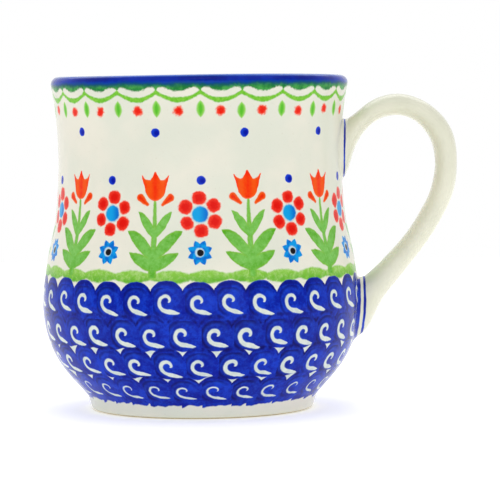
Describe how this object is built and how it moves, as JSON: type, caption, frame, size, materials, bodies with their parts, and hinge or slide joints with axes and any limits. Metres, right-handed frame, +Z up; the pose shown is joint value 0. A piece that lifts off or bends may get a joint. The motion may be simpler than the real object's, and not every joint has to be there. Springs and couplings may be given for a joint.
{
  "type": "stoneware mug",
  "caption": "Barrel-bellied stoneware mug with a rounded lip, a turned foot ring and a pulled loop handle luted on with slip, painted in a folk floral and wave pattern.",
  "frame": {"origin": "centre of the foot ring, on the plane the mug stands on", "axes": "+Z up along the cup's axis towards the lip; +X towards the handle; +Y completes the right-handed frame"},
  "size_m": [0.1253, 0.0956, 0.1],
  "materials": {
    "glazed_stoneware_body": "clear-glazed cream stoneware with an underglaze painted cobalt rim, floral band and cobalt wave band; bare clay on the foot ring",
    "glazed_stoneware_handle": "clear-glazed cream stoneware, plain, with a thin cobalt line round each root",
    "slip_joint": "smoothed joining slip under the same clear glaze"
  },
  "bodies": {
    "root": {"mug_body": "glazed_stoneware_body", "handle": "glazed_stoneware_handle", "upper_slip_joint": "slip_joint", "lower_slip_joint": "slip_joint"}
  },
  "joints": []
}
